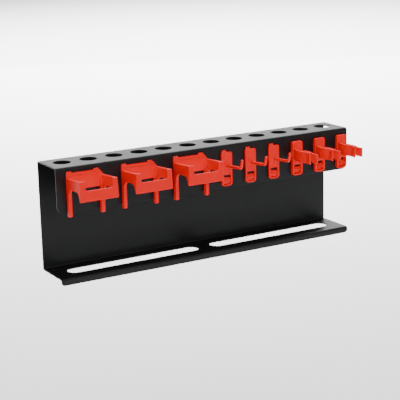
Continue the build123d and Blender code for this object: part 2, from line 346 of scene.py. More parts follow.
def neighbours(axis: int) -> tuple[tuple[slice, ...], tuple[slice, ...]]:
    """Indices of a grid's points and of the points that follow them along an axis."""
    first = tuple(slice(0, -1) if k == axis else slice(None) for k in range(3))
    second = tuple(slice(1, None) if k == axis else slice(None) for k in range(3))
    return first, second


def skin_of(shape: Field, low: Sequence[float], high: Sequence[float], step: float) -> Skin:
    """The surface where a field is 0, as quads.

    The field is read on a grid. Each cell that the surface passes through has one vertex, at the
    mean of the places where the surface cuts the cell's edges, and each grid edge that it cuts
    has one quad between the four cells round it. The vertices are then moved down the gradient on
    to the exact surface.

    Args:
        shape: the field, in millimetres.
        low: lowest corner of the shape.
        high: highest corner of the shape.
        step: grid step.

    Returns:
        The closed skin.
    """
    start = np.asarray(low, dtype=float) - GRID_MARGIN * step
    counts = np.ceil((np.asarray(high, dtype=float) - start) / step).astype(int) + GRID_SPARE
    ticks = [start[k] + step * np.arange(counts[k]) for k in range(3)]
    value = shape(ticks[0][:, None, None], ticks[1][None, :, None], ticks[2][None, None, :])
    value = np.broadcast_to(value, counts).copy()
    value[value == 0] = TINY
    solid = value < 0
    cells = tuple(counts - 1)
    total = np.zeros(cells + (3,))
    hits = np.zeros(cells)
    for axis in range(3):
        first, second = neighbours(axis)
        cut = solid[first] != solid[second]
        part = np.where(cut, value[first] / np.where(cut, value[first] - value[second], 1.0), 0.0)
        one, two = (k for k in range(3) if k != axis)
        for shift_one, shift_two in ((0, 0), (0, 1), (1, 0), (1, 1)):
            window = [slice(None)] * 3
            window[one] = slice(shift_one, shift_one + cells[one])
            window[two] = slice(shift_two, shift_two + cells[two])
            struck = cut[tuple(window)]
            hits += struck
            total[..., axis] += np.where(struck, part[tuple(window)], 0)
            total[..., one] += shift_one * struck
            total[..., two] += shift_two * struck
    used = hits > 0
    number = np.full(cells, -1)
    number[used] = np.arange(used.sum())
    corner = np.argwhere(used)
    vertices = start + step * (corner + total[used] / hits[used][:, None])
    quads = []
    for axis in range(3):
        one, two = (axis + 1) % 3, (axis + 2) % 3
        first, second = neighbours(axis)
        inward = solid[first]
        crossed = np.argwhere(inward != solid[second])
        falling = inward[tuple(crossed.T)]
        ring = np.repeat(crossed[:, None, :], 4, axis=1)
        ring[:, (0, 3), one] -= 1
        ring[:, (0, 1), two] -= 1
        face = number[ring[..., 0], ring[..., 1], ring[..., 2]]
        quads.append(np.where(falling[:, None], face, face[:, ::-1]))
    for _ in range(SETTLE_ROUNDS):
        downhill = slope(shape, vertices)
        for _ in range(SETTLE_ROUNDS):
            away = np.clip(shape(*vertices.T), -step / 2, step / 2)
            vertices = vertices - downhill * away[:, None]
    return Skin(vertices, np.concatenate(quads), slope(shape, vertices))


# ---- Finishes ------------------------------------------------------------------------------------
def linear(hex_colour: str) -> tuple[float, float, float, float]:
    """Turns an sRGB hex value into linear RGBA.

    Each part c becomes c / 12.92 up to 0.04045, and ((c + 0.055) / 1.055) ** 2.4 above it.

    Args:
        hex_colour: the colour as #RRGGBB.

    Returns:
        Red, green, blue and an alpha of 1.
    """
    parts = [int(hex_colour[place : place + 2], 16) / 255 for place in (1, 3, 5)]
    red, green, blue = (c / 12.92 if c <= 0.04045 else ((c + 0.055) / 1.055) ** 2.4 for c in parts)
    return (red, green, blue, 1.0)


def per_metre(size_mm: float) -> float:
    """The texture scale that gives a pattern features of a size in millimetres."""
    return 1.0 / (size_mm * MM)


def node(
    tree: bpy.types.NodeTree,
    kind: str,
    values: dict | None = None,
    links: dict | None = None,
    **settings: str,
) -> bpy.types.Node:
    """Adds a node with its settings, socket values and incoming links.

    Args:
        tree: the node tree.
        kind: the node's type name.
        values: input name or number to constant.
        links: input name or number to output socket.
        **settings: attributes of the node.

    Returns:
        The new node.
    """
    made = tree.nodes.new(kind)
    for name, setting in settings.items():
        setattr(made, name, setting)
    for name, constant in (values or {}).items():
        made.inputs[name].default_value = constant
    for name, source in (links or {}).items():
        tree.links.new(source, made.inputs[name])
    return made


def fresh_material(name: str) -> tuple[bpy.types.Material, bpy.types.NodeTree]:
    """A new material with an empty node tree.

    Args:
        name: the material's name.

    Returns:
        The material and its node tree.
    """
    material = bpy.data.materials.new(name)
    material.use_nodes = True
    material.node_tree.nodes.clear()
    return material, material.node_tree


@dataclass(frozen=True)
class SatinFinish:
    """A satin skin: two close colours, a gloss that varies a little and a fine bump."""

    name: str
    colour: str
    second_colour: str
    roughness: tuple[float, float]
    ior: float
    specular_level: float
    bump_strength: float
    bump_mm: float

    def wired(
        self,
        tree: bpy.types.NodeTree,
        shade: bpy.types.NodeSocket,
        gloss: bpy.types.NodeSocket,
        height: bpy.types.NodeSocket,
    ) -> None:
        """Adds the shader and what leads into it.

        Noise mostly stays between 0.3 and 0.7, so that range is spread over the roughness.

        Args:
            tree: the material's node tree.
            shade: the pattern that the colour follows.
            gloss: the pattern that the roughness follows.
            height: the pattern that the bump follows.
        """
        colours = {"A": linear(self.colour), "B": linear(self.second_colour)}
        tint = node(tree, "ShaderNodeMix", colours, {"Factor": shade}, data_type="RGBA")
        spread = {"From Min": 0.3, "From Max": 0.7, "To Min": self.roughness[0], "To Max": self.roughness[1]}
        rough = node(tree, "ShaderNodeMapRange", spread, {"Value": gloss})
        relief = {"Strength": self.bump_strength, "Distance": self.bump_mm * MM}
        bump = node(tree, "ShaderNodeBump", relief, {"Height": height})
        shader = node(
            tree,
            "ShaderNodeBsdfPrincipled",
            {"IOR": self.ior, "Metallic": 0.0, "Specular IOR Level": self.specular_level},
            {
                "Base Color": tint.outputs["Result"],
                "Roughness": rough.outputs["Result"],
                "Normal": bump.outputs["Normal"],
            },
        )
        node(tree, "ShaderNodeOutputMaterial", links={"Surface": shader.outputs["BSDF"]})


@dataclass(frozen=True)
class PowderCoat(SatinFinish):
    """Satin black polyester powder coat, sprayed and baked on folded steel.

    The melted powder levels out to a faint orange peel about a millimetre across, so reflections
    are soft and broken up a little, and its gloss wanders slowly from place to place.
    """

    name: str = "polyester_powder_coat_satin_black"
    colour: str = "#0B0C0E"
    second_colour: str = "#101113"
    roughness: tuple[float, float] = (0.36, 0.44)
    ior: float = 1.5
    specular_level: float = 0.35
    bump_strength: float = 0.35
    bump_mm: float = 0.05
    peel_mm: float = 1.3
    grit_mm: float = 0.45
    grit_part: float = 0.25
    drift_mm: float = 45.0

    def make(self) -> bpy.types.Material:
        """Builds the material: colour and gloss follow a slow drift, and the bump is peel with grit on it."""
        material, tree = fresh_material(self.name)
        place = node(tree, "ShaderNodeTexCoord").outputs["Object"]
        drift, peel, grit = (
            node(tree, "ShaderNodeTexNoise", {"Scale": per_metre(size), "Detail": detail}, {"Vector": place})
            for size, detail in ((self.drift_mm, 3.0), (self.peel_mm, 1.0), (self.grit_mm, 2.0))
        )
        height = node(
            tree,
            "ShaderNodeMath",
            {1: self.grit_part},
            {0: grit.outputs["Fac"], 2: peel.outputs["Fac"]},
            operation="MULTIPLY_ADD",
        )
        self.wired(tree, drift.outputs["Fac"], drift.outputs["Fac"], height.outputs[0])
        return material


@dataclass(frozen=True)
class RedPolypropylene(SatinFinish):
    """Red polypropylene, injection moulded in a fine spark-eroded tool.

    The colour is in the plastic, so edges keep it. The skin has a very fine even texture that
    makes its gloss satin and hides part of the surface reflection in its pits, and faint flow
    marks run down from where the melt came in.
    """

    name: str = "polypropylene_moulded_red"
    colour: str = "#FB0A03"
    second_colour: str = "#F20702"
    roughness: tuple[float, float] = (0.38, 0.46)
    ior: float = 1.49
    specular_level: float = 0.25
    bump_strength: float = 0.3
    bump_mm: float = 0.03
    texture_mm: float = 0.7
    flow_mm: float = 9.0
    flow_stretch: tuple[float, float, float] = (1.0, 1.0, 0.35)

    def make(self) -> bpy.types.Material:
        """Builds the material: colour follows the flow marks, and gloss and bump the moulded texture."""
        material, tree = fresh_material(self.name)
        place = node(tree, "ShaderNodeTexCoord").outputs["Object"]
        stretched = node(tree, "ShaderNodeMapping", {"Scale": self.flow_stretch}, {"Vector": place})
        flow_values = {"Scale": per_metre(self.flow_mm), "Detail": 2.0, "Distortion": 0.6}
        flow = node(tree, "ShaderNodeTexNoise", flow_values, {"Vector": stretched.outputs["Vector"]})
        fine_values = {"Scale": per_metre(self.texture_mm), "Detail": 2.0}
        fine = node(tree, "ShaderNodeTexNoise", fine_values, {"Vector": place})
        self.wired(tree, flow.outputs["Fac"], fine.outputs["Fac"], fine.outputs["Fac"])
        return material


@dataclass(frozen=True)
class StudioPaper:
    """Matt white background paper, which shows no grain at this distance."""

    name: str = "paper_matt_white"
    colour: str = "#F2F2F2"

    def make(self) -> bpy.types.Material:
        """Builds the material."""
        material, tree = fresh_material(self.name)
        shader = node(tree, "ShaderNodeBsdfPrincipled", {"Base Color": linear(self.colour), "Roughness": 0.9})
        node(tree, "ShaderNodeOutputMaterial", links={"Surface": shader.outputs["BSDF"]})
        return material


def dress(made: bpy.types.Object, body: str, replaced: str, material: bpy.types.Material) -> None:
    """Gives a finished piece its finish and the body it rides on, and hides the CAD node it stands for.

    Args:
        made: the piece, in place.
        body: the CAD body it moves with.
        replaced: the CAD node it stands for.
        material: its finish.
    """
    made.data.materials.append(material)
    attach(made, body)
    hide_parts(replaced)
    LOG.info("%s: %d faces on body %s", made.name, len(made.data.polygons), body)


def fit(skin: Skin, x: float, name: str, body: str, replaced: str, plastic: bpy.types.Material) -> None:
    """Puts one red plastic piece at its place along the rail.

    Args:
        skin: the piece with its middle at x = 0.
        x: its place.
        name: the piece's name.
        body: the CAD body it moves with.
        replaced: the CAD node it stands for.
        plastic: its finish.
    """
    dress(skin.moved(x).put(name), body, replaced, plastic)


# ---- Folded rack ---------------------------------------------------------------------------------
@dataclass
class FoldedRack:
    """The rail: one sheet-steel blank with its holes cut, folded four times."""

    length: float = 400.0
    shelf_depth: float = 53.0
    flange_height: float = 52.5
    lip_drop: float = 6.3
    bend_radius: float = 2.6
    bend_steps: int = 8
    flange_corner: float = 8.0
    lip_corner: float = 4.0
    edge_radius: float = 0.3
    hole_count: int = 12
    hole_radius: float = 10.3
    hole_pitch: float = 32.7
    hole_y: float = -24.3
    slot_width: float = 20.0
    slot_y: float = -26.0
    slot_spans: tuple[tuple[float, float], ...] = ((-180.5, -7.0), (11.0, 184.5))
    screw_radius: float = 2.75
    screw_x: float = 160.0
    screw_z: float = 4.0
    stud_slot_size: tuple[float, float] = (7.3, 5.56)
    stud_slot_z: float = 49.45
    stud_slot_radius: float = 0.6
    stud_slot_places: tuple[float, ...] = ()
    corner_steps: int = 10
    hole_steps: int = 72
    slot_steps: int = 18
    screw_steps: int = 40
    line_inset: float = 6.0
    line_points: int = 40
    stud_slot_steps: int = 4
    edge_steps: int = 4
    line_tolerance: float = 1e-4
    merge_distance: float = 1e-6
    sliver: float = 1e-3
    stations: Array = field(init=False)

    def __post_init__(self) -> None:
        """Works out the folded profile's stations."""
        self.stations = self.profile()

    def profile(self) -> Array:
        """The outer face's path from the flange's edge round to the lip's edge.

        Flats run straight between bends, and each bend is a quarter circle of the path's radius.

        Returns:
            Rows of (length along the path, y, z, heading), the heading as an angle in the YZ plane.
        """
        inner = self.bend_radius - SHEET
        lip_y = -self.shelf_depth + SHEET
        corners = [
            (FLANGE_FRONT, PANEL_TOP - self.flange_height),
            (FLANGE_FRONT, PANEL_TOP),
            (0.0, PANEL_TOP),
            (0.0, PANEL_BOTTOM),
            (lip_y, PANEL_BOTTOM),
            (lip_y, PANEL_BOTTOM - self.lip_drop),
        ]
        radii = (0.0, self.bend_radius, self.bend_radius, self.bend_radius, inner, 0.0)
        headings = (pi / 2, 0.0, -pi / 2, -pi, -pi / 2)
        rows = [(0.0, *corners[0], headings[0])]
        for number in range(1, 6):
            before, after = headings[number - 1], headings[min(number, 4)]
            radius = radii[number]
            run = np.hypot(*np.subtract(corners[number], rows[-1][1:3])) - radius
            s, y, z, _ = rows[-1]
            rows.append((s + run, y + run * cos(before), z + run * sin(before), before))
            if radius == 0:
                continue
            s, y, z, _ = rows[-1]
            hand = np.sign(after - before)
            centre = (y - hand * radius * sin(before), z + hand * radius * cos(before))
            for part in np.linspace(0, 1, self.bend_steps + 1)[1:]:
                heading = before + part * (after - before)
                place = (centre[0] + hand * radius * sin(heading), centre[1] - hand * radius * cos(heading))
                rows.append((s + part * radius * pi / 2, *place, heading))
        return np.array(rows)

    def unrolled(self, face: int, value: float) -> float:
        """Length along the path of a place on a flat.

        Args:
            face: which flat, counted from the flange: 0 flange, 1 top, 2 back, 3 shelf, 4 lip.
            value: the place's y on the top and shelf, or its z on the others.

        Returns:
            The length along the path.
        """
        row = self.stations[face * (self.bend_steps + 1)]
        column = 1 if face in (1, 3) else 2
        return row[0] + abs(value - row[column])

    def blank(self) -> tuple[Array, list[Array]]:
        """The flat blank's edge, run anticlockwise, and its holes, as outlines in (x, length)."""
        half = self.length / 2
        end = self.stations[-1, 0]
        corners = [(-half, 0), (half, 0), (half, end), (-half, end)]
        radii = [self.flange_corner, self.flange_corner, self.lip_corner, self.lip_corner]
        edge = corner_arcs(corners, radii, self.corner_steps)
        low_left, low_right, top_right, top_left = np.split(edge, 4)
        bends = self.stations[1:-1, 0]
        right = np.stack([np.full(len(bends), half), bends], axis=1)
        left = np.stack([np.full(len(bends), -half), bends[::-1]], axis=1)
        edge = np.concatenate([low_right, right, top_right, top_left, left, low_left])
        row = self.unrolled(1, self.hole_y)
        places = (np.arange(self.hole_count) - (self.hole_count - 1) / 2) * self.hole_pitch
        holes = [circle(x, row, self.hole_radius, self.hole_steps) for x in places]
        row = self.unrolled(3, self.slot_y)
        end_radius = self.slot_width / 2 - ARC_GAP
        for start, stop in self.slot_spans:
            middle = (start + stop) / 2
            holes.append(rectangle(middle, row, stop - start, self.slot_width, end_radius, self.slot_steps))
        row = self.unrolled(2, self.screw_z)
        holes += [circle(side * self.screw_x, row, self.screw_radius, self.screw_steps) for side in (-1, 1)]
        row = self.unrolled(0, self.stud_slot_z)
        for x in self.stud_slot_places:
            holes.append(rectangle(x, row, *self.stud_slot_size, self.stud_slot_radius, self.stud_slot_steps))
        return edge, [hole[::-1] for hole in holes]

    def folded(self, x: Array, s: Array, depth: Array) -> Array:
        """Places of points of the blank after folding.

        A point at length s and depth n below the outer face goes to P(s) + n * N(s), where P is
        the path and N its normal into the sheet, (sin a, -cos a) for heading a.

        Args:
            x: along the rail.
            s: length along the path.
            depth: below the outer face.

        Returns:
            The (n, 3) places in millimetres.
        """
        y = np.interp(s, self.stations[:, 0], self.stations[:, 1])
        z = np.interp(s, self.stations[:, 0], self.stations[:, 2])
        heading = np.interp(s, self.stations[:, 0], self.stations[:, 3])
        return np.stack([x, y + depth * np.sin(heading), z - depth * np.cos(heading)], axis=1)

    def turned(self, s: Array, flat: Array) -> Array:
        """Directions after folding.

        Args:
            s: length along the path of each place.
            flat: each direction in the blank's (x, length, into the sheet) axes.

        Returns:
            The (n, 3) directions in the frame's axes.
        """
        heading = np.interp(s, self.stations[:, 0], self.stations[:, 3])
        along, into = flat[:, 1], flat[:, 2]
        y = along * np.cos(heading) + into * np.sin(heading)
        z = along * np.sin(heading) - into * np.cos(heading)
        return np.stack([flat[:, 0], y, z], axis=1)

    def rim(self, outline: Array) -> tuple[Array, Array, Array]:
        """The cut edge round one outline: a rounded profile carried along it.

        Ring k lies (1 - sin t) * r in from the edge and (1 - cos t) * r below the outer face as t
        goes from 0 to 90 degrees, and the same again up from the inner face.

        Args:
            outline: the outline with the steel on its left.

        Returns:
            (x, length, depth) of each point, rings by points by 3; the direction out of the steel
            at each point in the same axes; and the quads between the rings.
        """
        tangent = np.roll(outline, -1, axis=0) - np.roll(outline, 1, axis=0)
        tangent /= np.linalg.norm(tangent, axis=1, keepdims=True)
        outward = np.stack([tangent[:, 1], -tangent[:, 0]], axis=1)
        turn = np.linspace(0, pi / 2, self.edge_steps + 1)
        inset = self.edge_radius * (1 - np.sin(turn))
        depth = self.edge_radius * (1 - np.cos(turn))
        inset = np.concatenate([inset, inset[::-1]])
        depth = np.concatenate([depth, SHEET - depth[::-1]])
        out = np.concatenate([np.sin(turn), np.sin(turn)[::-1]])
        into = np.concatenate([-np.cos(turn), np.cos(turn)[::-1]])
        rings, count = len(inset), len(outline)
        flat = outline[None] - inset[:, None, None] * outward[None]
        places = np.concatenate([flat, np.broadcast_to(depth[:, None, None], (rings, count, 1))], axis=2)
        faces = out[:, None, None] * outward[None]
        faces = np.concatenate([faces, np.broadcast_to(into[:, None, None], (rings, count, 1))], axis=2)
        near = np.arange(rings - 1)[:, None] * count + np.arange(count)[None]
        near_next = np.arange(rings - 1)[:, None] * count + (np.arange(count)[None] + 1) % count
        quads = np.stack([near, near + count, near_next + count, near_next], axis=2).reshape(-1, 4)
        return places, faces, quads

    def filled(self, flat: Array, edges: Array, edge: Array, holes: list[Array]) -> Array:
        """Fills the blank between its edge and its holes with triangles.

        Args:
            flat: every point that may be used, as (x, length).
            edges: pairs of points that no triangle crosses.
            edge: the blank's edge.
            holes: the holes' outlines.

        Returns:
            Triangles as numbers of points in flat, anticlockwise.
        """
        pairs = [(int(a), int(b)) for a, b in edges]
        result = delaunay_2d_cdt([Vector(p) for p in flat], pairs, [], 0, self.merge_distance)
        spots = np.array([tuple(p) for p in result[0]])
        triangles = np.array(result[2])
        source = np.array([group[0] if group else -1 for group in result[3]])
        middle = spots[triangles].mean(axis=1)
        keep = outline_distance(middle[:, 0], middle[:, 1], edge) < 0
        for hole in holes:
            keep &= outline_distance(middle[:, 0], middle[:, 1], hole) > 0
        triangles = triangles[keep]
        a, b, c = (spots[triangles[:, k]] for k in range(3))
        area = (b[:, 0] - a[:, 0]) * (c[:, 1] - a[:, 1]) - (b[:, 1] - a[:, 1]) * (c[:, 0] - a[:, 0])
        longest = np.linalg.norm([b - a, c - b, a - c], axis=2).max(axis=0)
        triangles = np.where((area > 0)[:, None], triangles, triangles[:, ::-1])
        return source[triangles[np.abs(area) > self.sliver * longest]]

    def skin(self) -> Skin:
        """The whole folded sheet: both faces and every cut edge."""
        edge, holes = self.blank()
        places, facing, quads, rims, first = [], [], [], [], 0
        for outline in (edge, *holes):
            points, faces, strip = self.rim(outline)
            places.append(points.reshape(-1, 3))
            facing.append(faces.reshape(-1, 3))
            quads.append(strip + first)
            count = len(outline)
            rims.append((first, first + len(places[-1]) - count, count))
            first += len(places[-1])
        limit = self.length / 2 - self.line_inset
        bends = self.stations[1:-1, 0]
        grid = np.meshgrid(np.linspace(-limit, limit, self.line_points), bends)
        lines = np.stack([part.ravel() for part in grid], axis=1)
        rim_points = np.concatenate(places)
        outer = np.concatenate([np.arange(start, start + count) for start, _, count in rims])
        inner = np.concatenate([np.arange(start, start + count) for _, start, count in rims])
        flat = np.concatenate([rim_points[outer, :2], lines])
        edges, offset = [], 0
        for _, _, count in rims:
            ring = np.arange(offset, offset + count)
            edges.append(np.stack([ring, np.roll(ring, -1)], axis=1))
            offset += count
        for row, s in enumerate(bends):
            on_line = np.isclose(flat[:offset, 1], s, atol=self.line_tolerance)
            ends = np.flatnonzero(on_line & (np.abs(flat[:offset, 0]) > limit))
            ends = ends[np.argsort(flat[ends, 0])]
            between = offset + row * self.line_points + np.arange(self.line_points)
            line = np.concatenate([[ends[0]], between, [ends[-1]]])
            edges.append(np.stack([line[:-1], line[1:]], axis=1))
        chosen = self.filled(flat, np.concatenate(edges), edge, holes)
        extra = len(lines)
        outer_of = np.concatenate([outer, first + np.arange(extra)])
        inner_of = np.concatenate([inner, first + extra + np.arange(extra)])
        folds = [np.concatenate([lines, np.full((extra, 1), depth)], axis=1) for depth in (0.0, SHEET)]
        x, s, depth = np.concatenate([rim_points, *folds]).T
        outward = np.array([0.0, 0.0, -1.0])
        normals = np.concatenate([*facing, np.tile(outward, (extra, 1)), np.tile(-outward, (extra, 1))])
        strips = np.concatenate(quads)
        halves = np.concatenate([strips[:, [0, 1, 2]], strips[:, [0, 2, 3]]])
        faces = np.concatenate([halves, outer_of[chosen], inner_of[chosen][:, ::-1]])
        return Skin(self.folded(x, s, depth), faces, self.turned(s, normals))

    def build(self, coat: bpy.types.Material) -> None:
        """Makes the rack and dresses it."""
        made = self.skin().put("folded_rack_coated")
        dress(made, "rack", "folded_rack", coat)


# ---- Hanging studs -------------------------------------------------------------------------------
@dataclass(frozen=True)
class Stud:
    """A finger that runs back and down through the flange and holds a plastic piece on it."""

    top_z: float = 53.0
    height: float = 4.0
    width: float = 7.0
    reach: float = 7.5
    root: float = 1.0
    tilt: float = 40.0

    def slab(self, x: float) -> Slab:
        """The stud at a place along the rail."""
        front, back = BACK_Y - self.root, BACK_Y + self.reach
        fall = (back - front) * np.tan(radians(self.tilt))
        corners = [
            (front, self.top_z),
            (front, self.top_z - self.height),
            (back, self.top_z - fall - self.height),
            (back, self.top_z - fall),
        ]
        outline = corner_arcs(corners, [0.3, 0.3, 0.9, 0.9])
        return Slab(Axis.X, outline, x - self.width / 2, x + self.width / 2, 0.5)


def with_studs(piece: Field, *places: float) -> Field:
    """A piece with a stud run into its back at each place."""
    return run_together([piece, *(Stud().slab(x) for x in places)], STUD_FILLET)


# ---- Wide holders --------------------------------------------------------------------------------
@dataclass
class WideHolder:
    """A bottomless tray: back plate, two legged side walls and a front with a wide cut."""

    centres: tuple[float, ...] = (-165.5, -96.8, -29.0)
    width: float = 45.2
    front: float = -90.5
    top: float = 58.2
    wall_top: float = 52.3
    front_top: float = 55.1
    back_bottom: float = 38.6
    cut_bottom: float = 44.4
    front_bottom: float = 32.0
    front_top_width: float = 45.4
    front_bottom_width: float = 47.2
    cut_width: float = 33.0
    cut_radius: float = 2.5
    wall: float = 3.0
    plate: float = 2.6
    rim_height: float = 3.6
    rim_step: float = 0.8
    shoulder_width: float = 4.0
    shoulder_drop: float = 5.0
    leg_depth: float = 5.5
    leg_width: float = 4.4
    leg_bottom: float = 8.0
    leg_radius: float = 2.0
    arch_top: float = 41.5
    arch_front: float = -82.0
    arch_foot: float = -86.3
    arch_radius: float = 5.0
    gusset_radius: float = 12.0
    gusset_lap: float = 0.1
    foot_rise: float = 0.6
    head_drop: float = 0.3
    leg_lap: float = 2.0
    stud_x: float = 14.0
    lug_places: tuple[float, float] = (-19.0, 14.5)
    lug_width: float = 6.0
    lug_height: float = 1.6
    fillet: float = 1.3
    grid_step: float = 0.42

    def wall_slab(self, side: int) -> Slab:
        """One side wall: from its back edge past the leg's gusset and round the arch to the front."""
        buried = self.fillet
        leg_front = BACK_Y - self.leg_depth
        gusset_foot = self.arch_top - self.gusset_radius - self.gusset_lap
        foot = self.front_bottom + self.foot_rise
        corners = [
            (BACK_Y - buried, self.wall_top),
            (BACK_Y - buried, gusset_foot),
            (leg_front, gusset_foot),
            (leg_front, self.arch_top),
            (self.arch_front, self.arch_top),
            (self.arch_foot, foot),
            (self.front + buried, foot),
            (self.front + buried, self.front_top - self.head_drop),
        ]
        radii = [0.0, 0.0, 0.0, self.gusset_radius, self.arch_radius, 0.5, 0.4, 0.4]
        outline = corner_arcs(corners, radii, 10)
        edge = side * self.width / 2
        low, high = sorted((edge, edge - side * self.wall))
        return Slab(Axis.X, outline, low, high, 0.55)

    def leg_slab(self, side: int) -> Slab:
        """One leg under a back corner, rounded at its foot."""
        outer = BACK_Y - self.leg_depth
        head, foot = self.wall_top - self.leg_lap, self.leg_bottom
        corners = [(BACK_Y, head), (BACK_Y, foot), (outer, foot), (outer, head)]
        outline = corner_arcs(corners, [0.4, self.leg_radius, self.leg_radius, 0.6])
        edge = side * self.width / 2
        low, high = sorted((edge, edge - side * self.leg_width))
        return Slab(Axis.X, outline, low, high, 0.6)

    def plate_slabs(self) -> list[Slab]:
        """The back plate, its thicker part below the rim, and the two lugs on top."""
        half = self.width / 2
        ledge = self.top - self.rim_height
        foot = [(-half, self.back_bottom), (half, self.back_bottom), (half, self.top - self.shoulder_drop)]
        cut = self.shoulder_width * (1 - self.rim_height / self.shoulder_drop)
        head = [(half - self.shoulder_width, self.top), (-half, self.top)]
        thin = corner_arcs([*foot, *head], [0.5, 0.5, 0.8, 1.0, 0.9])
        thick = corner_arcs([*foot, (half - cut, ledge), (-half, ledge)], [0.5, 0.5, 0.4, 0.4, 0.5])
        deep = BACK_Y - self.plate
        slabs = [
            Slab(Axis.Y, thin, deep + self.rim_step, BACK_Y, 0.35),
            Slab(Axis.Y, thick, deep, BACK_Y, 0.35),
        ]
        for place in self.lug_places:
            lug = rectangle(place, self.top, self.lug_width, 2 * self.lug_height, 0.5)
            slabs.append(Slab(Axis.Y, lug, deep + self.rim_step, BACK_Y, 0.35))
        return slabs

    def front_slab(self) -> Slab:
        """The front panel: it widens downwards and has a wide cut between two posts."""
        upper, lower = self.front_top_width / 2, self.front_bottom_width / 2
        cut, floor = self.cut_width / 2, self.cut_bottom
        corners = [
            (-lower, self.front_bottom),
            (lower, self.front_bottom),
            (upper, self.front_top),
            (cut, self.front_top),
            (cut, floor),
            (-cut, floor),
            (-cut, self.front_top),
            (-upper, self.front_top),
        ]
        radii = [0.8, 0.8, 0.8, 0.8, self.cut_radius, self.cut_radius, 0.8, 0.8]
        return Slab(Axis.Y, corner_arcs(corners, radii), self.front, self.front + self.plate, 0.8)

    def shape(self) -> Field:
        """The holder's field, with its middle at x = 0."""
        plate = run_together(self.plate_slabs(), 0.0)
        sides = [self.wall_slab(side) for side in (-1, 1)] + [self.leg_slab(side) for side in (-1, 1)]
        tray = kept_within(run_together([plate, *sides], self.fillet), self.width / 2)
        return with_studs(run_together([tray, self.front_slab()], self.fillet), -self.stud_x, self.stud_x)

    def build(self, plastic: bpy.types.Material) -> None:
        """Makes the three holders from one skin and dresses them."""
        half = self.front_bottom_width / 2
        low = (-half, self.front, self.leg_bottom)
        high = (half, BACK_Y + Stud().reach, self.top + self.lug_height)
        skin = skin_of(self.shape(), low, high, self.grid_step)
        for number, centre in enumerate(self.centres, 1):
            name = f"wide_holder_{number}"
            fit(skin, centre, f"{name}_moulded", name, name, plastic)


# ---- Carriers ------------------------------------------------------------------------------------
@dataclass
class Carrier:
    """The upright plate that a hook or a clip is moulded on, with a window for its catch tongue."""

    depth: float
    top: float
    width: float = 15.0
    bottom: float = 15.0
    top_radius: float = 2.5
    bottom_radius: float = 4.0
    window_width: float = 10.0
    window_top: float = 28.6
    window_bottom: float = 16.8
    window_radius: float = 0.8

    def slab(self) -> Slab:
        """The plate with its window."""
        half = self.width / 2
        corners = [(-half, self.bottom), (half, self.bottom), (half, self.top), (-half, self.top)]
        radii = [self.bottom_radius] * 2 + [self.top_radius] * 2
        middle, height = (self.window_top + self.window_bottom) / 2, self.window_top - self.window_bottom
        window = rectangle(0, middle, self.window_width, height, self.window_radius)
        return Slab(Axis.Y, corner_arcs(corners, radii, 8), BACK_Y - self.depth, BACK_Y, 0.7, (window,))


@dataclass
class CatchTongue:
    """The springy tongue in a carrier's window: round root, flat blade and a thumb ridge."""

    depth: float
    width: float = 9.2
    thickness: float = 1.3
    top: float = 25.3
    ridge_bottom: float = 20.6
    ridge_inset: float = 0.1
    setback: float = 0.2
    window_bottom: float = 16.8
    gap: float = 0.15
    grid_step: float = 0.22

    def skin(self) -> Skin:
        """The tongue with its middle at x = 0."""
        half = self.thickness / 2
        middle = BACK_Y - self.setback - half
        low = self.window_bottom + self.gap
        reach = BACK_Y - self.depth + self.ridge_inset
        corners = [
            (middle + half, low),
            (middle + half, self.top),
            (middle - half / 2, self.top),
            (reach, self.ridge_bottom + half),
            (reach, self.ridge_bottom),
            (middle - half, self.ridge_bottom),
            (middle - half, low),
        ]
        root = half - ARC_GAP
        outline = corner_arcs(corners, [root, 0.3, 0.3, 0.3, 0.3, 0.25, root], 5)
        side = self.width / 2
        slab = Slab(Axis.X, outline, -side, side, 0.28)
        return skin_of(slab, (-side, reach, low), (side, middle + half, self.top), self.grid_step)


